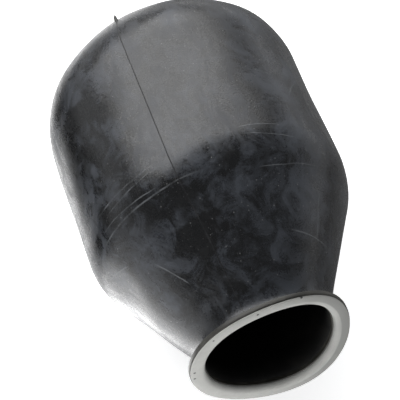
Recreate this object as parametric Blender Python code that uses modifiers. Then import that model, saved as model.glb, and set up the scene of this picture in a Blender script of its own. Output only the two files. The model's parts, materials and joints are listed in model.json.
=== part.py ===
"""A flanged rubber bulb, lying on its side.

One thin moulded wall runs from a round closed end, along a barrel and a sloping
shoulder, to a short neck with a flat flange round an open mouth. It is modelled
as the regions that a hand or a fitting meets: the parting lines of its mould,
the flange and its sealing face, and the two side walls that a squeeze pushes in.

Every turned piece is drawn about the bulb's own axis (local Z, mouth at 0), with
the parting lines in the local YZ plane. One empty then lays the bulb on its side.
World frame: metres, +Z up, mouth towards -Y, origin under the middle of the bulb.
"""

import math

import bpy
from mathutils import Matrix, Vector

# ---------------------------------------------------------------- driving sizes
BODY_RADIUS = 0.0812        # outside of the barrel
BODY_LENGTH = 0.2290        # sealing face to the crown of the closed end
WALL = 0.0030               # rubber thickness
BORE_RADIUS = 0.0395        # the open mouth
FLANGE_WIDTH = 0.0093       # of its face, from the mouth to the rim
FLANGE_THICKNESS = 0.0034
FACE_THICKNESS = 0.0009     # light sealing skin on the front of the flange
FACE_SETBACK = 0.0004       # the skin stops this far inside the flange's rim
LIP_SHARE = 0.65            # of the flange's depth, that the mouth's edge is rounded by
NECK_CORNER = 0.0100        # where the neck's line meets the shoulder's
SHOULDER_CORNER = 0.0830    # where the shoulder's line meets the barrel's
NECK_FILLET = 0.0180
SHOULDER_ROUND = 0.0420
NECK_END = 0.0120           # the neck piece stops here, on its fillet
SKIRT = 0.0020              # straight margin of the shoulder and of the closed end
DOME_DEPTH = 0.0480         # closed end, from the barrel to its crown
DOME_FULLNESS = 0.55        # 1 would be an ellipse, less is squarer
SEAM_ROLL = math.radians(-22.5)     # the parting plane leans to the left as it lies
SIDE_WALL_HEIGHT = 0.0980   # chord of each moving side wall
SQUEEZE_TRAVEL = 0.0250     # how far each side wall is pushed in
REST_WIDTH = 0.0280         # the flat that the rubber makes on a table
RIDGE_RADIUS = 0.0006       # flash left along the parting line
NIB_RADIUS = 0.0011
NIB_HEIGHT = 0.0034
NIB_ANGLE = math.radians(57.0)      # place on the closed end, 0 at the barrel
FIT_GAP = 0.0003            # between neighbouring pieces
LONGEST_REACH = 0.9         # of an outline's straight side that its round may take

# ------------------------------------------------------------- roundness of work
TURN_STEPS = 48
ARC_POINTS = 6
DOME_POINTS = 9
CORNER_STEPS = 3            # of those, the ones on the closed end's round corner

# ---------------------------------------------------------------- derived places
AXIS_HEIGHT = math.sqrt(BODY_RADIUS**2 - (REST_WIDTH / 2) ** 2)
NECK_RADIUS = BORE_RADIUS + WALL
FLANGE_RADIUS = BORE_RADIUS + FLANGE_WIDTH
FLANGE_FRONT = FACE_THICKNESS + FIT_GAP
FLANGE_BACK = FLANGE_FRONT + FLANGE_THICKNESS
LIP_ROUND = LIP_SHARE * FLANGE_BACK
NECK_START = FLANGE_BACK + FIT_GAP
DOME_START = BODY_LENGTH - DOME_DEPTH
CUTTER_REACH = BODY_LENGTH + BODY_RADIUS


def clear_scene():
    for old in list(bpy.data.objects):
        bpy.data.objects.remove(old, do_unlink=True)


def new_collection(name):
    collection = bpy.data.collections.new(name)
    bpy.context.scene.collection.children.link(collection)
    return collection


def rubber(name, color, roughness):
    material = bpy.data.materials.new(name)
    material.use_nodes = True
    shader = material.node_tree.nodes["Principled BSDF"]
    shader.inputs["Base Color"].default_value = (*color, 1.0)
    shader.inputs["Roughness"].default_value = roughness
    shader.inputs["Metallic"].default_value = 0.0
    return material


# ------------------------------------------------------------------ the outline
def corner_arc(before, corner, after, radius):
    """Points of the arc of this radius that rounds a corner of the outline.

    The arc is smaller where its shorter side has no room for it.
    """
    back = (before - corner).normalized()
    ahead = (after - corner).normalized()
    half = back.angle(ahead) / 2
    room = min((before - corner).length, (after - corner).length)
    radius = min(radius, LONGEST_REACH * room * math.tan(half))
    reach = radius / math.tan(half)
    centre = corner + (back + ahead).normalized() * (radius / math.sin(half))
    first = corner + back * reach - centre
    turn = (corner + ahead * reach - centre).angle_signed(first)
    arc = []
    for step in range(ARC_POINTS + 1):
        angle = turn * step / ARC_POINTS
        arc.append(centre + Matrix.Rotation(angle, 2) @ first)
    return arc


def side_outline():
    """(radius, distance from the mouth) up the outside, from neck to barrel's end."""
    start = Vector((NECK_RADIUS, NECK_START))
    neck = Vector((NECK_RADIUS, NECK_CORNER))
    shoulder = Vector((BODY_RADIUS, SHOULDER_CORNER))
    end = Vector((BODY_RADIUS, DOME_START))
    points = [start]
    points += corner_arc(start, neck, shoulder, NECK_FILLET)
    points += corner_arc(neck, shoulder, end, SHOULDER_ROUND)
    points.append(end)
    return points


def dome_point(angle):
    """Outside of the closed end: 0 at the barrel, a quarter turn at the crown."""
    radius = BODY_RADIUS * max(math.cos(angle), 0.0) ** DOME_FULLNESS
    return Vector((radius, DOME_START + DOME_DEPTH * math.sin(angle)))


def dome_outline(last_angle=math.pi / 2):
    """Equal steps near the crown would bunch up, so the steps ease towards it."""
    points = []
    for step in range(DOME_POINTS + 1):
        share = math.sin(step / DOME_POINTS * math.pi / 2)
        points.append(dome_point(last_angle * share))
    points[-1] = dome_point(last_angle)
    return points


def part_of(points, low, high):
    """The stretch of an outline between two distances from the mouth."""
    kept = [point for point in points if low <= point.y <= high]
    for here, following in zip(points, points[1:]):
        for limit in (low, high):
            if here.y < limit < following.y:
                share = (limit - here.y) / (following.y - here.y)
                kept.append(here.lerp(following, share))
    return sorted(kept, key=lambda point: point.y)


# ---------------------------------------------------------------- making pieces
def profile_object(name, points, closed, home, parent):
    """A wire profile in the local XZ plane, from the top down, ready to be turned."""
    top_down = list(reversed(points))
    mesh = bpy.data.meshes.new(name)
    vertices = [(point.x, 0.0, point.y - home) for point in top_down]
    edges = [(index, index + 1) for index in range(len(vertices) - 1)]
    if closed:
        edges.append((len(vertices) - 1, 0))
    mesh.from_pydata(vertices, edges, [])
    piece = bpy.data.objects.new(name, mesh)
    piece.parent = parent
    piece.location = (0.0, 0.0, home)
    PARTS.objects.link(piece)
    turn = piece.modifiers.new("Turn", "SCREW")
    turn.axis = "Z"
    turn.angle = 2 * math.pi
    turn.steps = TURN_STEPS
    turn.render_steps = TURN_STEPS
    turn.use_merge_vertices = True
    turn.merge_threshold = 0.00002
    turn.use_smooth_shade = True
    return piece


def turned_shell(name, points, material, home=0.0):
    """A turned sheet of the outer outline, thickened inwards to the wall."""
    piece = profile_object(name, points, False, home, LAY)
    wall = piece.modifiers.new("Wall", "SOLIDIFY")
    wall.thickness = WALL
    wall.offset = -1.0
    wall.use_even_offset = True
    piece.data.materials.append(material)
    return piece


def turned_ring(name, points, material):
    """A solid ring turned from a closed outline."""
    piece = profile_object(name, points, True, 0.0, LAY)
    piece.data.materials.append(material)
    return piece


def cutter_box(name, low, high, parent):
    bpy.ops.mesh.primitive_cube_add(size=1.0)
    box = bpy.context.object
    box.name = name
    size = Vector(high) - Vector(low)
    middle = (Vector(high) + Vector(low)) / 2
    box.data.transform(Matrix.Translation(middle) @ Matrix.Diagonal(size).to_4x4())
    box.parent = parent
    box.hide_render = True
    box.display_type = "WIRE"
    for collection in list(box.users_collection):
        collection.objects.unlink(box)
    CUTTERS.objects.link(box)
    return box


def cut(piece, cutter, operation):
    boolean = piece.modifiers.new(f"{operation.title()} {cutter.name}", "BOOLEAN")
    boolean.operation = operation
    boolean.solver = "EXACT"
    boolean.object = cutter


def laid_empty():
    """Turns the bulb's axis to lie along Y and leans the parting plane over."""
    empty = bpy.data.objects.new("lay", None)
    empty.rotation_euler = (math.radians(-90.0), SEAM_ROLL, 0.0)
    empty.location = (0.0, -BODY_LENGTH / 2, AXIS_HEIGHT)
    PARTS.objects.link(empty)
    return empty


# ----------------------------------------------------------------- the sub-parts
def make_barrel():
    """Four strips of the barrel: two that stay, and two side walls that move in."""
    low = SHOULDER_END + FIT_GAP
    high = DOME_START - SKIRT - FIT_GAP
    strip = part_of(side_outline(), low, high)
    chord = SIDE_WALL_HEIGHT / 2
    far = CUTTER_REACH
    limits = {
        "wall_top": ((-far, -far, -far), (far, -chord - FIT_GAP, far)),
        "wall_bottom": ((-far, chord + FIT_GAP, -far), (far, far, far)),
        "side_wall_left": ((-far, -chord, -far), (0.0, chord, far)),
        "side_wall_right": ((0.0, -chord, -far), (far, chord, far)),
    }
    for name, (corner, opposite) in limits.items():
        moves = name.startswith("side_wall")
        home = (low + high) / 2 if moves else 0.0
        piece = turned_shell(name, strip, BLACK_RUBBER[name], home)
        if moves:
            inward = 1.0 if name.endswith("left") else -1.0
            guide = squeeze_guide(name.replace("side_wall", "squeeze"), inward, home)
            piece.parent = guide
            piece.matrix_parent_inverse = guide.matrix_basis.inverted()
        cut(piece, cutter_box(f"{name}_limits", corner, opposite, LAY), "INTERSECT")
        if name == "wall_bottom":
            cut(piece, TABLE, "DIFFERENCE")


def squeeze_guide(name, inward, home):
    """An arrow on the slide's axis: a side wall moves along it as far as it is long."""
    guide = bpy.data.objects.new(name, None)
    guide.empty_display_type = "SINGLE_ARROW"
    guide.empty_display_size = SQUEEZE_TRAVEL
    guide.location = (0.0, 0.0, home)
    guide.rotation_euler = (0.0, math.copysign(math.pi / 2, inward), 0.0)
    guide.parent = LAY
    PARTS.objects.link(guide)
    return guide


def make_shoulder_and_neck():
    outline = side_outline()
    shoulder = part_of(outline, NECK_END + FIT_GAP, SHOULDER_END)
    piece = turned_shell("shoulder", shoulder, BLACK_RUBBER["shoulder"])
    cut(piece, TABLE, "DIFFERENCE")
    neck = part_of(outline, NECK_START, NECK_END)
    turned_shell("neck", neck, BLACK_RUBBER["neck"])


def make_closed_end():
    """The round corner past the barrel, and the end face inside it."""
    outline = dome_outline()
    here, following = outline[CORNER_STEPS : CORNER_STEPS + 2]
    middle = here.lerp(following, 0.5)
    half_gap = (following - here).normalized() * (FIT_GAP / 2)
    skirt = Vector((BODY_RADIUS, DOME_START - SKIRT))
    corner = [skirt, *outline[: CORNER_STEPS + 1], middle - half_gap]
    face = [middle + half_gap, *outline[CORNER_STEPS + 1 :]]
    piece = turned_shell("end_corner", corner, BLACK_RUBBER["end_corner"])
    cut(piece, TABLE, "DIFFERENCE")
    turned_shell("end_face", face, BLACK_RUBBER["end_face"])


def lip_arc(inset):
    """The mouth's rounded edge, from the bore out to the face, this far into the rubber."""
    centre = Vector((BORE_RADIUS + LIP_ROUND, LIP_ROUND))
    turns = [math.pi / 2 * step / ARC_POINTS for step in range(ARC_POINTS + 1)]
    radius = LIP_ROUND - inset
    return [centre - radius * Vector((math.cos(turn), math.sin(turn))) for turn in turns]


def make_flange():
    """A disc with a softened rim behind the sealing face, hollowed for the rolled lip."""
    soft = FLANGE_THICKNESS / 4
    ledge = LIP_ROUND + FIT_GAP
    outline = [
        Vector((BORE_RADIUS, ledge)),
        Vector((BORE_RADIUS + FLANGE_FRONT, ledge)),
        *lip_arc(FLANGE_FRONT),
        Vector((FLANGE_RADIUS - soft, FLANGE_FRONT)),
        Vector((FLANGE_RADIUS, FLANGE_FRONT + soft)),
        Vector((FLANGE_RADIUS, FLANGE_BACK - soft)),
        Vector((FLANGE_RADIUS - soft, FLANGE_BACK)),
        Vector((BORE_RADIUS, FLANGE_BACK)),
    ]
    turned_ring("flange", outline, BLACK_RUBBER["flange"])


def make_sealing_face():
    """The light skin on the flange, which rolls over the mouth's edge."""
    outer = FLANGE_RADIUS - FACE_SETBACK
    outline = [*lip_arc(0.0), Vector((outer, 0.0)), Vector((outer, FACE_THICKNESS))]
    outline += reversed(lip_arc(FACE_THICKNESS))
    turned_ring("sealing_face", outline, FACE_RUBBER)


def ridge_path():
    """The outside in the parting plane, lifted so that the ridge clears the wall."""
    lift = RIDGE_RADIUS + FIT_GAP
    last = NIB_ANGLE - (NIB_RADIUS + RIDGE_RADIUS + FIT_GAP) / DOME_DEPTH
    outside = part_of(side_outline(), NECK_START + 2 * RIDGE_RADIUS, DOME_START)
    outside += dome_outline(last)[1:]
    lifted = []
    for index, point in enumerate(outside):
        ahead = outside[min(index + 1, len(outside) - 1)]
        behind = outside[max(index - 1, 0)]
        along = (ahead - behind).normalized()
        lifted.append(point + Vector((along.y, -along.x)) * lift)
    return lifted


def make_parting_ridges():
    """Flash along both parting lines, in the local YZ plane: -Y lies uppermost."""
    for name, side in (("parting_ridge_top", -1.0), ("parting_ridge_bottom", 1.0)):
        path = ridge_path()
        curve = bpy.data.curves.new(name, "CURVE")
        curve.dimensions = "3D"
        curve.bevel_depth = RIDGE_RADIUS
        curve.bevel_resolution = 1
        curve.use_fill_caps = True
        spline = curve.splines.new("POLY")
        spline.points.add(len(path) - 1)
        for place, point in zip(spline.points, path):
            place.co = (0.0, side * point.x, point.y, 1.0)
        piece = bpy.data.objects.new(name, curve)
        piece.parent = LAY
        curve.materials.append(BLACK_RUBBER[name])
        PARTS.objects.link(piece)


def make_vent_nib():
    """The stub of rubber left by the mould's air vent, on the upper parting line."""
    step = 0.01
    here = dome_point(NIB_ANGLE)
    along = (dome_point(NIB_ANGLE + step) - dome_point(NIB_ANGLE - step)).normalized()
    out = Vector((along.y, -along.x))
    dip = here.x - math.sqrt(here.x**2 - NIB_RADIUS**2)
    foot = here + out * (FIT_GAP + dip)
    bpy.ops.mesh.primitive_cone_add(
        vertices=16, radius1=NIB_RADIUS, radius2=NIB_RADIUS * 0.6, depth=NIB_HEIGHT
    )
    nib = bpy.context.object
    nib.name = "vent_nib"
    nib.data.name = "vent_nib"
    nib.data.transform(Matrix.Translation((0.0, 0.0, NIB_HEIGHT / 2)))
    nib.parent = LAY
    nib.location = (0.0, -foot.x, foot.y)
    direction = Vector((0.0, -out.x, out.y))
    nib.rotation_euler = direction.to_track_quat("Z", "Y").to_euler()
    nib.data.materials.append(BLACK_RUBBER["vent_nib"])
    for collection in list(nib.users_collection):
        collection.objects.unlink(nib)
    PARTS.objects.link(nib)


clear_scene()
PARTS = new_collection("Flanged_Rubber_Bulb")
CUTTERS = new_collection("Cutters")
LAY = laid_empty()
SHOULDER_END = side_outline()[-2].y + SKIRT
FACE_RUBBER = rubber("sealing_face", (0.46, 0.46, 0.44), 0.7)
BLACK_RUBBER = {
    name: rubber(name, (0.022, 0.023, 0.025), 0.45)
    for name in (
        "end_corner",
        "end_face",
        "wall_top",
        "wall_bottom",
        "side_wall_left",
        "side_wall_right",
        "shoulder",
        "neck",
        "flange",
        "parting_ridge_top",
        "parting_ridge_bottom",
        "vent_nib",
    )
}
TABLE = cutter_box(
    "table", (-CUTTER_REACH, -CUTTER_REACH, -CUTTER_REACH), (CUTTER_REACH, CUTTER_REACH, 0.0), None
)
make_closed_end()
make_barrel()
make_shoulder_and_neck()
make_flange()
make_sealing_face()
make_parting_ridges()
make_vent_nib()
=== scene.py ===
"""The finish of a flanged rubber bulb: its moulded skin, mouth, parting lines and studio.

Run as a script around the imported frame. The bulb lies along Y with its mouth towards -Y.
An angle round it is measured from straight up, and grows towards +X.
"""

import json
import math

import bmesh
import bpy
import numpy as np
from mathutils import Matrix, Vector


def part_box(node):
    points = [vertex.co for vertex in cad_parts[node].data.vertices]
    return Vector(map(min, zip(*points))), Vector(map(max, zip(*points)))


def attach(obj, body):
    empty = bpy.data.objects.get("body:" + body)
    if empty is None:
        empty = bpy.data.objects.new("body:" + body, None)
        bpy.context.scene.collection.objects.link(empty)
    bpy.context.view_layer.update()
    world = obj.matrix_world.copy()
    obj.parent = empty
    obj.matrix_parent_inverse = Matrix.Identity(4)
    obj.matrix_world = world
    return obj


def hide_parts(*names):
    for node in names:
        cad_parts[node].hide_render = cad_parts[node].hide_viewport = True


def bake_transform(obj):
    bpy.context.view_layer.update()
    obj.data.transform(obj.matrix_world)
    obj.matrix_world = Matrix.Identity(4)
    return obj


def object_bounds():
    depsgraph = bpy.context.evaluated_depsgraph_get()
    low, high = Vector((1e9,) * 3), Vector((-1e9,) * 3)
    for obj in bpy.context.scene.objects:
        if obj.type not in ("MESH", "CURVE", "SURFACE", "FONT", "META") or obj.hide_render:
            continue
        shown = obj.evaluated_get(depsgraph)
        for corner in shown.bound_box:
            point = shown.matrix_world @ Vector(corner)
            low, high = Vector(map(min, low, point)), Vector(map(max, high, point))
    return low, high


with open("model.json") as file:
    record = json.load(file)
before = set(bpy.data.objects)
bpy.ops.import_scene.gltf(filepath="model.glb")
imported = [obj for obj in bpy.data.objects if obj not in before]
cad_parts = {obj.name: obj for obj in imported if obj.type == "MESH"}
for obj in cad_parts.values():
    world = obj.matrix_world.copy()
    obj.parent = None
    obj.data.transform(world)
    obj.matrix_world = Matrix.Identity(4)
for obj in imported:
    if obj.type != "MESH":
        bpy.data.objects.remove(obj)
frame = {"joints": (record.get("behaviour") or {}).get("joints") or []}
CAD_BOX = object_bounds()

bl_info = {
    "name": "Flanged Rubber Bulb",
    "version": (1, 0, 0),
    "blender": (4, 5, 0),
    "location": "View3D > Sidebar > Rubber Bulb",
    "description": "Builds the moulded skin, mouth and studio of a flanged rubber bulb",
    "category": "Object",
}

# ------------------------------------------------------- places read from the frame
FLANGE_LOW, FLANGE_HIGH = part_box("flange")
MOUTH_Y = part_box("sealing_face")[0].y
CROWN_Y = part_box("end_face")[1].y
AXIS_Z = (FLANGE_LOW.z + FLANGE_HIGH.z) / 2
FLANGE_RADIUS = (FLANGE_HIGH.z - FLANGE_LOW.z) / 2
BODY_RADIUS = (CAD_BOX[1].x - CAD_BOX[0].x) / 2
BODY_LENGTH = CROWN_Y - MOUTH_Y
FLANGE_BACK = FLANGE_HIGH.y - MOUTH_Y
SQUEEZE = {joint["child"]: joint for joint in frame["joints"]}
LEFTWARDS = -Vector(SQUEEZE["left_side"]["axis"])
SEAM_ANGLE = math.atan2(LEFTWARDS.x, LEFTWARDS.z) + math.pi / 2

FINE_STEP = 0.0015  # between the points of a flash line
NEAR_TABLE = 0.004  # rubber lower than this flattens


# --------------------------------------------------------------------- properties
def metres(name, description, default):
    return bpy.props.FloatProperty(
        name=name, description=description, default=default, unit="LENGTH", precision=4
    )


def share(name, description, default):
    return bpy.props.FloatProperty(
        name=name, description=description, default=default, subtype="FACTOR"
    )


def colour(name, description, default):
    return bpy.props.FloatVectorProperty(
        name=name, description=description, default=default, subtype="COLOR", size=3
    )


def degrees(name, description, default):
    return bpy.props.FloatProperty(
        name=name,
        description=description,
        default=math.radians(default),
        subtype="ANGLE",
    )


class BulbSizes(bpy.types.PropertyGroup):
    """The sizes of the moulding that the frame doesn't give."""

    wall: metres("Wall", "Rubber thickness", 0.003)
    bore: metres("Bore radius", "Radius of the open mouth", 0.0392)
    neck: metres("Neck radius", "Outside of the neck", 0.0410)
    neck_fillet: metres("Flange fillet", "Round between flange and neck", 0.0040)
    neck_corner: metres("Neck corner", "From the mouth to the neck's bend", 0.0135)
    neck_round: metres("Neck round", "Radius of the neck's bend", 0.018)
    fullness: metres("Fullness", "How far the soft barrel swells past its mould", 0.0014)
    shoulder_corner: metres("Shoulder corner", "From the mouth to the shoulder's edge", 0.086)
    shoulder_round: metres("Shoulder round", "Radius of the shoulder's edge", 0.042)
    dome_depth: metres("End depth", "Depth of the closed end", 0.048)
    dome_fullness: share("End fullness", "1 is an ellipse, less is squarer", 0.55)
    lip_round: metres("Lip round", "Round where the face rolls into the mouth", 0.0030)
    ridge_width: metres("Ridge width", "Width of the parting flash", 0.0007)
    ridge_height: metres("Ridge height", "Height of the parting flash", 0.00025)


class BulbFinish(bpy.types.PropertyGroup):
    """Colours and gloss of the rubber."""

    rubber: colour("Rubber", "Clean black rubber", (0.0045, 0.0048, 0.0054))
    bloom: colour("Bloom", "Bluish wax that rubber sweats out", (0.046, 0.0515, 0.062))
    gloss: share("Roughness", "Roughness of clean rubber", 0.27)
    scuff: colour("Scuffs", "Hair lines where it was handled", (0.16, 0.17, 0.18))
    dust: colour("Dust", "Specks lying on the skin", (0.20, 0.20, 0.20))
    rim: colour("Rim", "Edge of the flange", (0.022, 0.021, 0.017))
    # The flange's face is given a plain light grey colour.
    face: colour("Sealing face", "Dusted light face of the flange", (0.50, 0.50, 0.475))


class BulbStudio(bpy.types.PropertyGroup):
    """Camera and light."""

    azimuth: degrees("Azimuth", "Camera's heading, 0 looks along +Y", -19.244)
    elevation: degrees("Elevation", "Camera above the horizon", 53.262)
    distance: metres("Distance", "Camera to the middle of the bulb", 1.05)
    lens: bpy.props.FloatProperty(name="Lens", description="Focal length, mm", default=156.5)


# ------------------------------------------------------------------- the outline
def corner_arc(before, corner, after, radius, steps=14):
    """Points of the arc of this radius that rounds a corner of the outline."""
    back = (before - corner).normalized()
    ahead = (after - corner).normalized()
    half = back.angle(ahead) / 2
    centre = corner + (back + ahead).normalized() * (radius / math.sin(half))
    first = corner + back * (radius / math.tan(half)) - centre
    last = corner + ahead * (radius / math.tan(half)) - centre
    turn = last.angle_signed(first)
    return [centre + Matrix.Rotation(turn * n / steps, 2) @ first for n in range(steps + 1)]


def outline(sizes):
    """(radius, distance from the mouth) of the outside, from the flange to the crown."""
    neck_radius = sizes.neck
    barrel = BODY_RADIUS + sizes.fullness
    fillet = sizes.neck_fillet
    points = []
    for n in range(9):
        turn = math.pi / 2 * n / 8
        out = neck_radius + fillet * (1 - math.sin(turn))
        points.append(Vector((out, FLANGE_BACK + fillet * (1 - math.cos(turn)))))
    neck = Vector((neck_radius, sizes.neck_corner))
    shoulder = Vector((barrel, sizes.shoulder_corner))
    dome_start = BODY_LENGTH - sizes.dome_depth
    end = Vector((barrel, dome_start))
    points += corner_arc(points[-1], neck, shoulder, sizes.neck_round)
    points += corner_arc(neck, shoulder, end, sizes.shoulder_round)
    for n in range(61):
        turn = math.pi / 2 * math.sin(n / 60 * math.pi / 2)
        out = barrel * max(math.cos(turn), 0.0) ** sizes.dome_fullness
        points.append(Vector((out, dome_start + sizes.dome_depth * math.sin(turn))))
    points[-1].x = 0.0
    return points


def evenly_spaced(points, step):
    """The same line with points about a step apart, and its two ends kept."""
    flat = np.array([list(point) for point in points])
    run = np.concatenate([[0], np.cumsum(np.linalg.norm(np.diff(flat, axis=0), axis=1))])
    count = max(2, round(run[-1] / step))
    places = np.linspace(0, run[-1], count + 1)
    return np.stack([np.interp(places, run, flat[:, axis]) for axis in (0, 1)], axis=1)


def outward(line):
    """Unit normals of an outline, pointing away from the axis."""
    along = np.gradient(line, axis=0)
    along /= np.linalg.norm(along, axis=1)[:, None]
    normals = np.stack([along[:, 1], -along[:, 0]], axis=1)
    normals[-1] = (0.0, 1.0)
    return normals


# ------------------------------------------------- how the soft rubber has settled
LIE = Matrix.Translation((-0.0035, 0.0, -0.0029)) @ Matrix.Rotation(math.radians(1.2), 4, "Z")
LIE_ARRAY = np.array(LIE)

# Dents and swellings: (height, angle, distance from the mouth, degrees wide, metres long)
SWELLINGS = (
    (-0.0016, -95.0, 0.203, 38.0, 0.024),
    (-0.0016, -84.0, 0.064, 12.0, 0.012),
    (0.0009, -100.0, 0.040, 26.0, 0.016),
    (0.0006, 20.0, 0.120, 30.0, 0.030),
    (-0.0006, -40.0, 0.095, 24.0, 0.022),
    (-0.0005, 62.0, 0.160, 22.0, 0.030),
)
# Ripples in the wall: (height, waves round it, radians per metre along it, radians at the start)
RIPPLES = (
    (0.00022, 5, 40.0, 0.0),
    (0.00016, 9, -95.0, 1.0),
)
# The mouth's bend, at its rim: (waves round it, cosine's and sine's part in mm)
MOUTH_TILT = (0.0374, -0.0234)
MOUTH_AHEAD = ((2, -1.06, 1.96), (3, -0.63, -0.39))
MOUTH_ASIDE = ((2, -0.92, 0.36),)
# How the body lies behind the mouth, to the right and up: metres per metre, then metres
BODY_SLANT = (0.0336, 0.0114)
BODY_SHIFT = (0.0004, 0.0036)


def smooth(value, low, high):
    share = np.clip((value - low) / (high - low), 0.0, 1.0)
    return share * share * (3 - 2 * share)


def swelling(angle, along):
    """How far the soft wall stands off its turned shape, in metres."""
    lift = np.zeros(np.broadcast(angle, along).shape)
    for height, middle, place, wide, long in SWELLINGS:
        turn = (np.degrees(angle) - middle + 180) % 360 - 180
        lift += height * np.exp(-((turn / wide) ** 2) - ((along - place) / long) ** 2)
    past_neck = smooth(along, 0.03, 0.09)
    for height, waves, run, start in RIPPLES:
        lift += height * np.sin(waves * angle + run * along + start) * past_neck
    return lift


def wave(angle, waves, cosine, sine):
    return cosine * np.cos(waves * angle) + sine * np.sin(waves * angle)


def warp(radius, angle):
    """The mouth's bend out of its plane, and out of round, in metres."""
    per_mm = 0.001 * radius / FLANGE_RADIUS
    ahead = radius * wave(angle, 1, *MOUTH_TILT)
    ahead += per_mm * sum(wave(angle, *term) for term in MOUTH_AHEAD)
    aside = per_mm * sum(wave(angle, *term) for term in MOUTH_ASIDE)
    return ahead, aside


def settled(radius, angle, along):
    """World points for places given by radius, angle and distance from the mouth."""
    radius, angle, along = np.broadcast_arrays(radius, angle, along)
    ahead, aside = warp(radius, angle)
    near_mouth = 1 - smooth(along, 0.006, 0.034)
    body = smooth(along, 0.008, 0.058)
    out = radius + aside * near_mouth
    points = np.stack(
        [
            out * np.sin(angle) + BODY_SHIFT[0] * body + BODY_SLANT[0] * along,
            MOUTH_Y + along + ahead * near_mouth,
            AXIS_Z + out * np.cos(angle) + BODY_SHIFT[1] * body + BODY_SLANT[1] * along,
            np.ones(out.shape),
        ],
        axis=-1,
    )
    return (points @ LIE_ARRAY.T)[..., :3]


def on_table(points):
    """Soft rubber flattens where it lies, and never goes below the table."""
    height = points[..., 2]
    flattened = NEAR_TABLE * np.exp(np.minimum(height, NEAR_TABLE) / NEAR_TABLE - 1)
    points[..., 2] = np.where(height < NEAR_TABLE, flattened, height)
    return points


def wall_points(line, normals, angles, lift=0.0):
    """World points of the wall: a grid of outline rows by angle columns."""
    angle, along = np.meshgrid(angles, line[:, 1])
    radius = np.broadcast_to(line[:, :1], angle.shape)
    off = swelling(angle, along) * np.clip(radius / 0.05, 0, 1) + lift
    return settled(radius + off * normals[:, :1], angle, along + off * normals[:, 1:])


# ------------------------------------------------------------------- mesh helpers
def mesh_object(name, points, faces, material, inside=None, first_inside=None):
    """A linked piece. Faces made only of points from first_inside on get the inside's material."""
    mesh = bpy.data.meshes.new(name)
    mesh.from_pydata([tuple(point) for point in points], [], faces)
    if not mesh.polygons:
        raise RuntimeError(f"{name} has no faces")
    if inside:
        marks = [int(min(face) >= first_inside) for face in faces]
        mesh.polygons.foreach_set("material_index", marks)
    work = bmesh.new()
    work.from_mesh(mesh)
    bmesh.ops.remove_doubles(work, verts=work.verts, dist=1e-6)
    bmesh.ops.dissolve_degenerate(work, edges=work.edges, dist=1e-7)
    bmesh.ops.recalc_face_normals(work, faces=work.faces)
    work.to_mesh(mesh)
    work.free()
    mesh.shade_smooth()
    mesh.set_sharp_from_angle(angle=math.radians(50))
    mesh.materials.append(material)
    if inside:
        mesh.materials.append(inside)
    piece = bpy.data.objects.new(name, mesh)
    bpy.context.scene.collection.objects.link(piece)
    return piece


def grid_faces(rows, columns, first=0, wrap=False):
    """Quads between neighbouring rows of a grid whose points run row by row."""
    faces = []
    for row in range(rows - 1):
        for column in range(columns if wrap else columns - 1):
            here = first + row * columns + column
            beside = first + row * columns + (column + 1) % columns
            faces.append((here, beside, beside + columns, here + columns))
    return faces


def end_caps(rows, sides):
    """The two end faces of a wrapped grid."""
    last = (rows - 1) * sides
    return [tuple(range(sides)), tuple(last + n for n in reversed(range(sides)))]


def turned_ring(name, outline_points, columns, material):
    """A closed ring turned about the bulb's axis from a closed outline."""
    ring = np.array([tuple(point) for point in outline_points])
    angles = np.arange(columns) * 2 * math.pi / columns
    points = settled(ring[:, :1], angles[None, :], ring[:, 1:]).reshape(-1, 3)
    faces = grid_faces(len(outline_points), columns, wrap=True)
    last = (len(outline_points) - 1) * columns
    for column in range(columns):
        beside = (column + 1) % columns
        faces.append((last + column, last + beside, beside, column))
    return mesh_object(name, points, faces, material)


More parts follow.
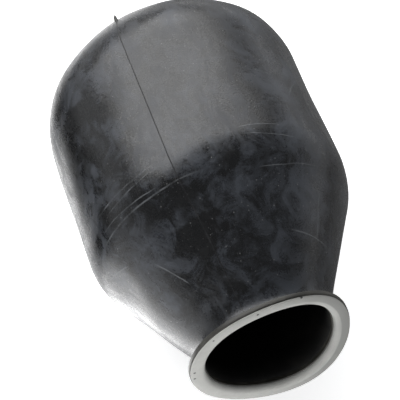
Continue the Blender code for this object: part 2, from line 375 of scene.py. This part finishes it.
# ---------------------------------------------------------------------- materials
# Places where the bloom lies thicker (+) or is rubbed off (-): (amount, place, reach)
PATCHES = (
    (-1.0, (-0.067, 0.047, 0.129), 0.011),
    (-1.0, (-0.053, 0.034, 0.145), 0.008),
    (-1.0, (-0.048, 0.007, 0.149), 0.008),
    (-1.0, (-0.069, 0.018, 0.126), 0.008),
    (-0.7, (-0.074, 0.039, 0.116), 0.008),
    (-1.0, (-0.054, -0.026, 0.142), 0.010),
    (-1.0, (-0.027, -0.042, 0.152), 0.009),
    (-1.0, (-0.033, -0.065, 0.133), 0.011),
    (-0.8, (-0.037, -0.032, 0.152), 0.007),
    (-1.0, (0.004, -0.034, 0.161), 0.009),
    (-1.0, (-0.017, -0.094, 0.120), 0.005),
    (-0.9, (-0.070, -0.024, 0.123), 0.009),
    (-0.8, (-0.019, -0.057, 0.145), 0.006),
    (0.5, (0.035, -0.058, 0.136), 0.020),
    (-0.5, (-0.047, 0.071, 0.149), 0.008),
    (0.8, (-0.056, -0.058, 0.117), 0.011),
    (0.8, (-0.068, -0.052, 0.091), 0.009),
    (0.7, (-0.052, -0.077, 0.101), 0.009),
    (0.6, (0.002, -0.048, 0.153), 0.010),
    (0.6, (-0.012, -0.050, 0.151), 0.006),
    (0.8, (0.043, -0.019, 0.153), 0.012),
    (0.7, (0.057, 0.038, 0.143), 0.013),
    (1.0, (0.001, 0.073, 0.165), 0.011),
    (0.7, (0.051, 0.070, 0.148), 0.012),
    (0.5, (0.050, -0.072, 0.108), 0.009),
    (0.6, (0.011, -0.099, 0.117), 0.012),
    (0.6, (-0.050, 0.053, 0.147), 0.007),
    (0.5, (-0.075, -0.001, 0.113), 0.009),
    (0.5, (-0.039, -0.053, 0.138), 0.006),
    (0.4, (-0.013, -0.072, 0.137), 0.008),
    (0.5, (0.048, -0.039, 0.140), 0.010),
    (-0.8, (-0.060, -0.003, 0.138), 0.013),
    (-0.9, (-0.050, -0.041, 0.138), 0.014),
    (-0.6, (-0.059, 0.043, 0.139), 0.010),
    (-0.6, (-0.075, 0.026, 0.114), 0.009),
    (-0.7, (-0.004, -0.039, 0.158), 0.009),
    (-0.8, (-0.027, -0.064, 0.138), 0.012),
    (0.5, (0.015, -0.080, 0.130), 0.012),
    (0.5, (0.036, -0.062, 0.132), 0.014),
    (-0.6, (-0.035, -0.043, 0.148), 0.008),
    (-0.5, (-0.025, -0.083, 0.124), 0.011),
)
# Hair lines from handling: (middle, direction square to the line, reach, width)
HAIR_LINES = (
    ((-0.0580, -0.0188, 0.139), (0.02, 1.0, 0.0), 0.030, 0.00040),
    ((-0.0560, -0.0228, 0.139), (-0.06, 1.0, 0.0), 0.022, 0.00028),
    ((-0.0532, -0.0340, 0.140), (0.03, 1.0, 0.0), 0.043, 0.00042),
    ((-0.0600, -0.0300, 0.134), (0.10, 1.0, 0.0), 0.026, 0.00028),
    ((0.0241, -0.0168, 0.161), (0.0, 1.0, 0.0), 0.015, 0.00030),
    ((0.0300, -0.0235, 0.158), (0.10, 1.0, 0.0), 0.018, 0.00024),
    ((0.0367, -0.0748, 0.121), (0.19, 1.0, 0.0), 0.020, 0.00034),
    ((0.0360, -0.0400, 0.149), (-0.08, 1.0, 0.0), 0.024, 0.00024),
    ((-0.0460, -0.0700, 0.116), (1.0, 0.75, 0.3), 0.014, 0.00028),
    ((0.0447, -0.0633, 0.124), (1.0, -0.42, 0.0), 0.016, 0.00026),
    ((0.0600, 0.0200, 0.142), (1.0, -0.50, 0.2), 0.016, 0.00024),
    ((-0.0720, -0.0450, 0.095), (0.3, 1.0, 0.3), 0.016, 0.00030),
)


def feed(tree, socket, value):
    """Link a socket to this input, or set the input's number."""
    if isinstance(value, bpy.types.NodeSocket):
        tree.links.new(value, socket)
    else:
        socket.default_value = value


def smooth_step(tree, value, start, end, first, last):
    """A number that runs smoothly from first, at start, to last, at end."""
    node = tree.nodes.new("ShaderNodeMapRange")
    node.interpolation_type = "SMOOTHSTEP"
    numbers = {"Value": value, "From Min": start, "From Max": end, "To Min": first, "To Max": last}
    for name, number in numbers.items():
        feed(tree, node.inputs[name], number)
    return node.outputs["Result"]


class Nodes:
    """A short way to add and link a material's nodes."""

    def __init__(self, name):
        self.material = bpy.data.materials.new(name)
        self.material.use_nodes = True
        self.tree = self.material.node_tree
        self.shader = self.tree.nodes["Principled BSDF"]
        self.place = self.add("ShaderNodeTexCoord").outputs["Object"]

    def add(self, kind, **settings):
        node = self.tree.nodes.new(kind)
        for key, value in settings.items():
            setattr(node, key, value)
        return node

    def feed(self, socket, value):
        feed(self.tree, socket, value)

    def look(self, **values):
        """Set or link the shader's sockets, named with _ for a space."""
        for name, value in values.items():
            self.feed(self.shader.inputs[name.replace("_", " ")], value)

    def noise(self, scale, detail=4.0, rough=0.55, stretch=None, distortion=0.0):
        node = self.add("ShaderNodeTexNoise")
        self.feed(node.inputs["Vector"], self.stretched(stretch))
        self.feed(node.inputs["Scale"], scale)
        self.feed(node.inputs["Detail"], detail)
        self.feed(node.inputs["Roughness"], rough)
        self.feed(node.inputs["Distortion"], distortion)
        return node.outputs["Fac"]

    def stretched(self, stretch):
        if stretch is None:
            return self.place
        node = self.add("ShaderNodeMapping")
        self.feed(node.inputs["Vector"], self.place)
        self.feed(node.inputs["Rotation"], stretch[0])
        self.feed(node.inputs["Scale"], stretch[1])
        return node.outputs["Vector"]

    def between(self, value, low, high, to_low=0.0, to_high=1.0):
        return smooth_step(self.tree, value, low, high, to_low, to_high)

    def math(self, operation, first, second=0.0):
        node = self.add("ShaderNodeMath", operation=operation)
        self.feed(node.inputs[0], first)
        self.feed(node.inputs[1], second)
        return node.outputs["Value"]

    def times(self, first, second):
        return self.math("MULTIPLY", first, second)

    def plus(self, first, second):
        return self.math("ADD", first, second)

    def split(self, vector):
        """The X, Y and Z of a vector."""
        node = self.add("ShaderNodeSeparateXYZ")
        self.feed(node.inputs["Vector"], vector)
        return node.outputs["X"], node.outputs["Y"], node.outputs["Z"]

    def ragged(self, scale, reach):
        """The place, pushed about by a noise, so that what uses it gets torn edges."""
        noise = self.add("ShaderNodeTexNoise")
        self.feed(noise.inputs["Vector"], self.place)
        self.feed(noise.inputs["Scale"], scale)
        self.feed(noise.inputs["Detail"], 4.0)
        push = self.add("ShaderNodeVectorMath", operation="MULTIPLY_ADD")
        self.feed(push.inputs[0], noise.outputs["Color"])
        self.feed(push.inputs[1], (reach, reach, reach))
        self.feed(push.inputs[2], self.place)
        centred = self.add("ShaderNodeVectorMath", operation="SUBTRACT")
        self.feed(centred.inputs[0], push.outputs["Vector"])
        self.feed(centred.inputs[1], (reach / 2, reach / 2, reach / 2))
        return centred.outputs["Vector"]

    def distance(self, place, point):
        node = self.add("ShaderNodeVectorMath", operation="DISTANCE")
        self.feed(node.inputs[0], place)
        self.feed(node.inputs[1], point)
        return node.outputs["Value"]

    def patches(self):
        """The sum of the patches' amounts."""
        torn = self.ragged(130.0, 0.024)
        total = 0.0
        for amount, point, reach in PATCHES:
            off = self.distance(torn, point)
            total = self.plus(self.between(off, 0.1 * reach, 1.45 * reach, amount, 0.0), total)
        return total

    def hair_lines(self):
        """Fine broken lines where something rubbed the skin."""
        torn = self.ragged(45.0, 0.0022)
        broken = self.between(self.noise(70.0, 5.0, 0.6), 0.34, 0.60, 0.25, 1.0)
        total = 0.0
        for point, across, reach, width in HAIR_LINES:
            square = Vector(across).normalized()
            side = self.add("ShaderNodeVectorMath", operation="DOT_PRODUCT")
            self.feed(side.inputs[0], torn)
            self.feed(side.inputs[1], tuple(square))
            off = self.math("SUBTRACT", side.outputs["Value"], square.dot(Vector(point)))
            off = self.math("ABSOLUTE", off)
            line = self.between(off, 0.1 * width, 1.7 * width, 1.0, 0.0)
            away = self.distance(self.place, point)
            near = self.between(away, 0.55 * reach, reach, 1.0, 0.0)
            total = self.math("MAXIMUM", self.times(line, near), total)
        return self.times(total, broken)

    def specks(self, scale, size, rare):
        """Small round specks: 1 inside a speck, in the rarer cells."""
        cells = self.add("ShaderNodeTexVoronoi", feature="F1")
        self.feed(cells.inputs["Vector"], self.place)
        self.feed(cells.inputs["Scale"], scale)
        self.feed(cells.inputs["Randomness"], 1.0)
        inside = self.between(cells.outputs["Distance"], size, size * 2.0, 1.0, 0.0)
        chance = self.add("ShaderNodeSeparateColor")
        self.feed(chance.inputs["Color"], cells.outputs["Color"])
        kept = self.math("GREATER_THAN", chance.outputs["Red"], rare)
        return self.times(inside, kept)

    def mix(self, factor, first, second):
        node = self.add("ShaderNodeMix", data_type="RGBA")
        self.feed(node.inputs["Factor"], factor)
        for socket, value in ((node.inputs["A"], first), (node.inputs["B"], second)):
            self.feed(socket, (*value, 1.0) if isinstance(value, tuple) else value)
        return node.outputs["Result"]

    def bump(self, height, strength, distance):
        node = self.add("ShaderNodeBump")
        self.feed(node.inputs["Height"], height)
        self.feed(node.inputs["Strength"], strength)
        self.feed(node.inputs["Distance"], distance)
        self.feed(self.shader.inputs["Normal"], node.outputs["Normal"])


def bloom_cover(nodes, patch, brushed, grain):
    """How thickly the bloom lies: clouds and brush marks, then the patches, broken by the grain."""
    wide = nodes.noise(14.0, 4.0, 0.55, distortion=0.6)
    clouds = nodes.times(
        nodes.between(wide, 0.32, 0.64, 0.25, 1.0), nodes.between(patch, 0.38, 0.66)
    )
    marks = nodes.times(nodes.between(brushed, 0.50, 0.72), 0.8)
    laid = nodes.times(nodes.patches(), nodes.between(patch, 0.25, 0.72, 0.25, 0.9))
    cover = nodes.plus(nodes.math("MAXIMUM", clouds, marks), laid)
    cover = nodes.math("MINIMUM", nodes.math("MAXIMUM", cover, 0.0), 1.2)
    return nodes.times(cover, nodes.between(grain, 0.2, 0.75, 0.72, 1.12))


def moulded_rubber(name, finish):
    """Semi-matte black with a bluish bloom, rubbed patches, hair lines and dust."""
    nodes = Nodes(name)
    patch = nodes.noise(56.0, 10.0, 0.74, distortion=1.1)
    slanting = ((0.3, 0.2, -0.9), (1.0, 0.35, 1.0))
    brushed = nodes.noise(85.0, 8.0, 0.72, stretch=slanting, distortion=1.4)
    grain = nodes.noise(900.0, 3.0, 0.65)
    cover = bloom_cover(nodes, patch, brushed, grain)
    lines = nodes.hair_lines()
    small = nodes.times(nodes.specks(760.0, 0.10, 0.80), 0.5)
    specks = nodes.math("MAXIMUM", nodes.specks(330.0, 0.07, 0.70), small)

    color = nodes.mix(cover, tuple(finish.rubber), tuple(finish.bloom))
    color = nodes.mix(nodes.times(lines, 0.62), color, tuple(finish.scuff))
    color = nodes.mix(nodes.times(specks, 0.7), color, tuple(finish.dust))

    rough = nodes.between(cover, 0.0, 1.0, finish.gloss, finish.gloss + 0.10)
    rough = nodes.plus(rough, nodes.times(nodes.plus(lines, specks), 0.15))
    rough = nodes.plus(rough, nodes.between(grain, 0.3, 0.7, -0.05, 0.06))
    rough = nodes.plus(rough, nodes.between(brushed, 0.34, 0.70, -0.06, 0.10))
    nodes.look(Base_Color=color, Roughness=rough, IOR=1.52, Specular_IOR_Level=0.47)

    relief = nodes.plus(nodes.times(grain, 0.8), nodes.times(patch, 1.2))
    nodes.bump(nodes.plus(relief, nodes.times(lines, 0.5)), 0.55, 0.00020)
    return nodes.material


def inner_rubber(name, finish):
    """The inside, which no light reaches: matte black with a trace of talc."""
    nodes = Nodes(name)
    talc = nodes.between(nodes.noise(60.0, 5.0, 0.6), 0.45, 0.75)
    nodes.look(
        Base_Color=nodes.mix(talc, (0.006, 0.006, 0.006), (0.016, 0.015, 0.013)),
        Roughness=nodes.between(talc, 0.0, 1.0, 0.62, 0.8),
        Specular_IOR_Level=0.25,
    )
    nodes.bump(nodes.noise(500.0, 3.0, 0.6), 0.3, 0.00015)
    return nodes.material


def flange_rubber(name, finish):
    """The rim of the flange: olive black with a trace of the face's dust."""
    nodes = Nodes(name)
    worn = nodes.between(nodes.noise(60.0, 5.0, 0.6), 0.42, 0.7)
    nodes.look(
        Base_Color=nodes.mix(worn, tuple(finish.rim), (0.068, 0.066, 0.056)),
        Roughness=nodes.between(worn, 0.0, 1.0, 0.42, 0.6),
    )
    nodes.bump(nodes.noise(500.0, 3.0, 0.6), 0.3, 0.00012)
    return nodes.material


def flash_rubber(name, finish):
    """The slender flash, cut clean and darker than the skin."""
    nodes = Nodes(name)
    worn = nodes.between(nodes.noise(90.0, 4.0, 0.6), 0.45, 0.7)
    nodes.look(
        Base_Color=nodes.mix(worn, (0.006, 0.006, 0.007), (0.020, 0.021, 0.023)),
        Roughness=nodes.between(worn, 0.0, 1.0, 0.38, 0.55),
    )
    nodes.bump(nodes.noise(400.0, 2.0, 0.5), 0.2, 0.0001)
    return nodes.material


def light_grey_face(name, finish):
    """Light grey, finely mottled, with a few dark specks; painted shade darkens the outer face
    towards the right.
    """
    nodes = Nodes(name)
    mottle = nodes.between(nodes.noise(70.0, 6.0, 0.65), 0.3, 0.72)
    color = nodes.mix(mottle, tuple(0.84 * part for part in finish.face), tuple(finish.face))
    across, _, up = nodes.split(nodes.place)
    height = nodes.math("SUBTRACT", up, AXIS_Z - 0.003)
    squares = nodes.plus(nodes.math("POWER", across, 2.0), nodes.math("POWER", height, 2.0))
    past_lip = nodes.between(nodes.math("SQRT", squares), 0.0423, 0.0432)
    # Painted shade: past the lip, the face is mixed darker towards the right, standing in for the
    # shade where it turns away from the light.
    painted_shade_right = nodes.times(nodes.between(across, -0.010, 0.036), past_lip)
    color = nodes.mix(nodes.times(painted_shade_right, 0.85), color, tuple(0.56 * part for part in finish.face))
    fine = nodes.between(nodes.noise(1400.0, 2.0, 0.6), 0.25, 0.75)
    color = nodes.mix(nodes.times(fine, 0.14), color, (0.25, 0.25, 0.24))
    color = nodes.mix(nodes.specks(190.0, 0.10, 0.86), color, (0.04, 0.04, 0.04))
    nodes.look(Base_Color=color, Roughness=nodes.between(mottle, 0.0, 1.0, 0.5, 0.64))
    nodes.bump(nodes.noise(900.0, 3.0, 0.6), 0.3, 0.0001)
    return nodes.material


# ---------------------------------------------------------------------- operators
def shared_material(make, finish):
    """The finished material of this maker, made once."""
    name = "finish_" + make.__name__
    return bpy.data.materials.get(name) or make(name, finish)


class BULB_OT_skin(bpy.types.Operator):
    """Make the two half skins, which meet at the parting plane"""

    bl_idname = "bulb.skin"
    bl_label = "Moulded Skin"

    step = 0.0022
    columns = 120
    blend_start = 0.038

    def execute(self, context):
        sizes = context.scene.bulb_sizes
        material = shared_material(moulded_rubber, context.scene.bulb_finish)
        line = evenly_spaced(outline(sizes), self.step)
        normals = outward(line)
        halves = {
            "left": (-math.pi, ["side_wall_left", "wall_bottom", "shoulder", "neck"]),
            "right": (math.pi, ["side_wall_right", "wall_top", "end_corner", "end_face"]),
        }
        for side, (turn, nodes) in halves.items():
            angles = SEAM_ANGLE + np.linspace(0, turn, self.columns + 1)
            skin = self.half(f"skin_{side}", line, normals, angles, sizes.wall, material)
            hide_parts(*nodes)
            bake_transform(skin)
        return {"FINISHED"}

    def half(self, name, line, normals, angles, wall, material):
        outside = on_table(wall_points(line, normals, angles))
        inside = wall_points(line, normals, angles, -wall)
        inside[..., 2] = np.maximum(inside[..., 2], wall)
        rows, columns = outside.shape[:2]
        count = rows * columns
        points = np.concatenate([outside.reshape(-1, 3), inside.reshape(-1, 3)])
        faces = grid_faces(rows, columns)
        faces += [face[::-1] for face in grid_faces(rows, columns, first=count)]
        for row in range(rows - 1):
            for column in (0, columns - 1):
                here = row * columns + column
                faces.append((here, here + columns, here + columns + count, here + count))
        for column in range(columns - 1):
            faces.append((column, column + 1, column + 1 + count, column + count))
        inside = shared_material(inner_rubber, bpy.context.scene.bulb_finish)
        return mesh_object(name, points, faces, material, inside, count)


class BULB_OT_flange(bpy.types.Operator):
    """Make the black disc and rim of the mouth"""

    bl_idname = "bulb.flange"
    bl_label = "Flange"

    front = 0.0010
    behind_face = 0.0006
    collar = 0.004
    soft = 0.0008

    def rounded(self, radius, along, side):
        """The rim's back corner (side 1) or its front corner (side -1)."""
        soft = self.soft
        turns = [math.pi / 2 * n / 6 for n in range(7)]
        corner = [
            (radius - soft * (1 - math.sin(turn)), along - side * soft * (1 - math.cos(turn)))
            for turn in turns
        ]
        return corner if side == 1 else corner[::-1]

    def execute(self, context):
        sizes = context.scene.bulb_sizes
        rim_front = self.front + self.behind_face
        inner = sizes.bore - self.behind_face
        collar = FLANGE_BACK + self.collar
        points = [(inner, self.front + sizes.lip_round), (inner, collar)]
        points += [(inner + self.soft, collar), (inner + self.soft, FLANGE_BACK)]
        points += self.rounded(FLANGE_RADIUS, FLANGE_BACK, 1)
        points += self.rounded(FLANGE_RADIUS, rim_front, -1)
        points += [(sizes.bore + sizes.lip_round, rim_front)]
        material = shared_material(flange_rubber, context.scene.bulb_finish)
        ring = turned_ring("mouth_flange", points, 256, material)
        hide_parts("flange")
        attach(ring, "bulb")
        return {"FINISHED"}


class BULB_OT_sealing_face(bpy.types.Operator):
    """Make the light face of the flange, which rolls into the mouth"""

    bl_idname = "bulb.sealing_face"
    bl_label = "Sealing Face"

    land = 0.0006
    skin = 0.0007
    setback = 0.0005

    def lip(self, sizes, inset, steps):
        """The arc from the face into the mouth, this far under the surface."""
        radius = sizes.lip_round - inset
        out, along = sizes.bore + inset, self.land + inset
        turns = [math.pi / 2 * n / steps for n in range(steps + 1)]
        return [
            (out + radius * (1 - math.sin(turn)), along + radius * (1 - math.cos(turn)))
            for turn in turns
        ]

    def execute(self, context):
        sizes = context.scene.bulb_sizes
        outer = FLANGE_RADIUS - self.setback
        back = self.land + self.skin
        points = [(outer, back), (outer, self.land + 0.0003), (outer - 0.0003, self.land)]
        points += self.lip(sizes, 0.0, 14)
        points += reversed(self.lip(sizes, self.skin, 8))
        material = shared_material(light_grey_face, context.scene.bulb_finish)
        ring = turned_ring("sealing_skin", points, 256, material)
        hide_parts("sealing_face")
        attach(ring, "bulb")
        return {"FINISHED"}


class BULB_OT_parting_lines(bpy.types.Operator):
    """Make the two lines of flash where the mould's halves met"""

    bl_idname = "bulb.parting_lines"
    bl_label = "Parting Lines"

    left_out = 0.030
    at_stub = 1.6
    sunk = 0.0003
    on_cone = 0.3

    def execute(self, context):
        sizes = context.scene.bulb_sizes
        material = shared_material(flash_rubber, context.scene.bulb_finish)
        line = evenly_spaced(outline(sizes), FINE_STEP)
        normals = outward(line)
        last = len(line) - round(self.left_out / FINE_STEP)
        line, normals = line[2:last], normals[2:last]
        for name, angle in (("top", SEAM_ANGLE), ("bottom", SEAM_ANGLE + math.pi)):
            ridge = self.ridge(f"parting_line_{name}", line, normals, angle, sizes, material)
            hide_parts(f"parting_ridge_{name}")
            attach(ridge, "bulb")
        return {"FINISHED"}

    def ridge(self, name, line, normals, angle, sizes, material):
        half = sizes.ridge_width / 2 / BODY_RADIUS
        run = np.concatenate([[0], np.cumsum(np.linalg.norm(np.diff(line, axis=0), axis=1))])
        from_stub = run - (run[-1] + self.left_out - BULB_OT_vent_nib.from_crown)
        thicker = 1 + self.at_stub * np.exp(-((from_stub / 0.007) ** 2))
        rise = thicker * (self.on_cone + (1 - self.on_cone) * smooth(line[:, 1], 0.05, 0.10))
        section = (
            (-half, -self.sunk),
            (-half, 0.0),
            (0.0, sizes.ridge_height),
            (half, 0.0),
            (half, -self.sunk),
        )
        columns = []
        for turn, lift in section:
            angles = angle + turn * BODY_RADIUS / np.maximum(line[:, 0], 0.01) * thicker
            high = lift * (rise if lift > 0 else np.ones(len(line)))
            column = [
                wall_points(line[n : n + 1], normals[n : n + 1], angles[n : n + 1], high[n])[0, 0]
                for n in range(len(line))
            ]
            columns.append(np.array(column))
        grid = np.stack(columns, axis=1)
        rows, sides = grid.shape[:2]
        faces = grid_faces(rows, sides, wrap=True) + end_caps(rows, sides)
        return mesh_object(name, grid.reshape(-1, 3), faces, material)


class BULB_OT_vent_nib(bpy.types.Operator):
    """Make the stub left by the mould's vent"""

    bl_idname = "bulb.vent_nib"
    bl_label = "Vent Nib"

    from_crown = 0.0745
    height = 0.0040
    lean = 0.0050
    thickness = 0.0011
    sunk = 0.0006
    steps = 12
    sides = 10

    def execute(self, context):
        material = shared_material(flange_rubber, context.scene.bulb_finish)
        sizes = context.scene.bulb_sizes
        line = evenly_spaced(outline(sizes), FINE_STEP)
        normals = outward(line)
        reach = np.cumsum(np.linalg.norm(np.diff(line, axis=0), axis=1))
        place = int(np.searchsorted(reach, reach[-1] - self.from_crown))
        points = []
        tangent = np.array([-normals[place][1], normals[place][0]])
        for step in range(self.steps + 1):
            share = step / self.steps
            height = self.height * share - self.sunk
            row = place - 1 + self.lean * share**2 / FINE_STEP
            low = int(row)
            spot = line[low] + (line[low + 1] - line[low]) * (row - low)
            thick = self.thickness * (1.25 - 0.55 * share) * math.sqrt(1 - 0.96 * share**6)
            for side in range(self.sides):
                turn = 2 * math.pi * side / self.sides
                along_wall = thick * 1.5 * math.cos(turn)
                across = thick * math.sin(turn)
                centre = spot + normals[place] * height + tangent * along_wall
                around = SEAM_ANGLE + across / max(spot[0], 0.01)
                points.append(settled(centre[0], around, centre[1]))
        rows = self.steps + 1
        faces = grid_faces(rows, self.sides, wrap=True) + end_caps(rows, self.sides)
        nib = mesh_object("vent_stub", points, faces, material)
        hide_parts("vent_nib")
        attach(nib, "bulb")
        return {"FINISHED"}


class BULB_OT_studio(bpy.types.Operator):
    """Make the floor, the soft light and the camera"""

    bl_idname = "bulb.studio"
    bl_label = "Studio"

    pale = (0.88, 0.88, 0.88, 1.0)
    white = (1.0, 1.0, 1.0, 1.0)
    floor_glow = 0.72
    sky = 0.21
    sky_by_floor = 0.68
    aim = Vector((-0.0080, -0.0078, 0.0914))
    panel_heading = Vector((-0.197, 0.565, 0.801))
    panel_centre = Vector((0.0, 0.0, 0.08))
    panel_away = 0.9
    panel_drop = 0.09

    def execute(self, context):
        scene = context.scene
        self.floor()
        self.world(scene)
        self.lights()
        self.camera(scene, scene.bulb_studio)
        scene.view_settings.view_transform = "Standard"
        return {"FINISHED"}

    def floor(self):
        bpy.ops.mesh.primitive_circle_add(vertices=96, radius=6.0, fill_type="NGON")
        floor = bpy.context.object
        floor.name = "studio_floor"
        nodes = Nodes("pale_floor")
        nodes.look(
            Base_Color=self.pale,
            Roughness=0.9,
            Specular_IOR_Level=0.0,
            Emission_Color=self.white,
            Emission_Strength=self.floor_glow,
        )
        floor.data.materials.append(nodes.material)

    def world(self, scene):
        """A dim soft sky, pale where it meets the floor behind the bulb."""
        world = bpy.data.worlds.new("studio_world")
        scene.world = world
        world.use_nodes = True
        tree = world.node_tree
        background = tree.nodes["Background"]
        background.inputs["Color"].default_value = (0.95, 0.97, 1.0, 1.0)
        place = tree.nodes.new("ShaderNodeTexCoord")
        split = tree.nodes.new("ShaderNodeSeparateXYZ")
        tree.links.new(place.outputs["Generated"], split.inputs["Vector"])
        low = smooth_step(tree, split.outputs["Z"], 0.10, 0.26, 1.0, 0.0)
        behind = smooth_step(tree, split.outputs["Y"], -0.55, -0.05, 0.0, self.sky_by_floor)
        strength = tree.nodes.new("ShaderNodeMath")
        strength.operation = "MULTIPLY_ADD"
        for socket, value in zip(strength.inputs, (low, behind, self.sky)):
            feed(tree, socket, value)
        tree.links.new(strength.outputs["Value"], background.inputs["Strength"])

    def lights(self):
        self.panel()
        self.glow("front_glow", place=(-0.150, -0.075, 0.001), size=(0.16, 0.12), strength=4.0)
        self.glow("side_glow", place=(-0.105, 0.085, 0.001), size=(0.09, 0.19), strength=1.3)
        self.lamp(
            "front_softbox",
            place=(-0.85, -1.45, 0.30),
            target=(0, -0.1, 0.08),
            size=(0.9, 0.5),
            power=6.5,
        )
        self.card("right_card", place=(0.44, 0.20, 0.0006), size=(0.88, 1.45), shade=0.24)
        self.card("left_card", place=(-0.56, 0.41, 0.0006), size=(0.92, 1.0), shade=0.01)

    def plane(self, name, place, size, material):
        """A flat piece of the stage that the camera doesn't see."""
        bpy.ops.mesh.primitive_plane_add(size=1.0, location=place)
        plane = bpy.context.object
        plane.name = name
        plane.scale = (*size, 1.0)
        plane.data.materials.append(material)
        plane.visible_camera = False
        return plane

    def glow(self, name, place, size, strength):
        """A patch of the floor that shines up, less towards its far side."""
        nodes = Nodes(name)
        across, _, _ = nodes.split(nodes.place)
        fade = nodes.between(across, -0.5, 0.5, self.floor_glow, strength)
        nodes.look(Base_Color=self.pale, Emission_Color=self.white, Emission_Strength=fade)
        self.plane(name, place, size, nodes.material)

    def panel(self):
        """A wide soft panel overhead, which ends on the left and fades out to the right."""
        facing = self.panel_heading
        upright = facing.to_track_quat("Z", "Y")
        side = upright @ Vector((1.0, 0.0, 0.0))
        right = math.copysign(1.0, side.x)
        left_end, right_end, height = -0.62, 1.56, 0.74
        width, middle = right_end - left_end, (left_end + right_end) / 2
        nodes = Nodes("overhead_panel")
        across, _, _ = nodes.split(nodes.place)
        start, end = ((place - middle) / width * right for place in (0.35, 1.48))
        glow = nodes.add("ShaderNodeEmission")
        nodes.feed(glow.inputs["Strength"], nodes.between(across, start, end, 4.1, 0.8))
        surface = nodes.tree.nodes["Material Output"].inputs["Surface"]
        nodes.feed(surface, glow.outputs["Emission"])
        nodes.tree.nodes.remove(nodes.shader)
        place = facing * self.panel_away + side * right * middle + self.panel_centre
        place -= upright @ Vector((0.0, self.panel_drop, 0.0))
        panel = self.plane("overhead_panel", place, (width, height), nodes.material)
        panel.rotation_euler = upright.to_euler()

    def lamp(self, name, place, target, size, power):
        data = bpy.data.lights.new(name, "AREA")
        data.shape = "RECTANGLE"
        data.size, data.size_y = size
        data.energy = power
        lamp = bpy.data.objects.new(name, data)
        lamp.location = place
        aim = Vector(target) - Vector(place)
        lamp.rotation_euler = aim.to_track_quat("-Z", "Y").to_euler()
        lamp.visible_camera = False
        bpy.context.scene.collection.objects.link(lamp)

    def card(self, name, place, size, shade):
        """A dark card on the floor, soft at its edges, that only reflections see."""
        nodes = Nodes(name)
        across, along, _ = nodes.split(nodes.place)
        off = nodes.math("MAXIMUM", nodes.math("ABSOLUTE", across), nodes.math("ABSOLUTE", along))
        nodes.look(
            Base_Color=(shade, shade, shade, 1.0),
            Roughness=1.0,
            Alpha=nodes.between(off, 0.40, 0.5, 1.0, 0.0),
        )
        card = self.plane(name, place, size, nodes.material)
        card.visible_diffuse = False
        card.visible_shadow = False

    def camera(self, scene, studio):
        data = bpy.data.cameras.new("studio_camera")
        data.sensor_width = 36.0
        data.lens = studio.lens
        data.clip_end = 50.0
        camera = bpy.data.objects.new("studio_camera", data)
        scene.collection.objects.link(camera)
        back = Vector((0.0, -1.0, 0.0))
        back.rotate(Matrix.Rotation(-studio.elevation, 3, "X"))
        back.rotate(Matrix.Rotation(studio.azimuth, 3, "Z"))
        camera.location = self.aim + back * studio.distance
        camera.rotation_euler = (-back).to_track_quat("-Z", "Y").to_euler()
        scene.camera = camera


class BULB_PT_workshop(bpy.types.Panel):
    """Lists the bulb's pieces, sizes and colours"""

    bl_idname = "BULB_PT_workshop"
    bl_label = "Rubber Bulb"
    bl_space_type = "VIEW_3D"
    bl_region_type = "UI"
    bl_category = "Rubber Bulb"

    def draw(self, context):
        scene = context.scene
        for group in (scene.bulb_sizes, scene.bulb_finish, scene.bulb_studio):
            box = self.layout.box()
            for name in group.bl_rna.properties.keys():
                if name not in ("rna_type", "name"):
                    box.prop(group, name)
        for operator in STEPS:
            self.layout.operator(operator.bl_idname)


STEPS = (
    BULB_OT_skin,
    BULB_OT_flange,
    BULB_OT_sealing_face,
    BULB_OT_parting_lines,
    BULB_OT_vent_nib,
    BULB_OT_studio,
)
GROUPS = {
    "bulb_sizes": BulbSizes,
    "bulb_finish": BulbFinish,
    "bulb_studio": BulbStudio,
}


def register():
    for group in GROUPS.values():
        bpy.utils.register_class(group)
    for operator in STEPS:
        bpy.utils.register_class(operator)
    bpy.utils.register_class(BULB_PT_workshop)
    for name, group in GROUPS.items():
        setattr(bpy.types.Scene, name, bpy.props.PointerProperty(type=group))


def unregister():
    for name in GROUPS:
        delattr(bpy.types.Scene, name)
    bpy.utils.unregister_class(BULB_PT_workshop)
    for operator in reversed(STEPS):
        bpy.utils.unregister_class(operator)
    for group in GROUPS.values():
        bpy.utils.unregister_class(group)


def main():
    register()
    for operator in STEPS:
        family, name = operator.bl_idname.split(".")
        getattr(getattr(bpy.ops, family), name)()


if __name__ == "__main__":
    main()
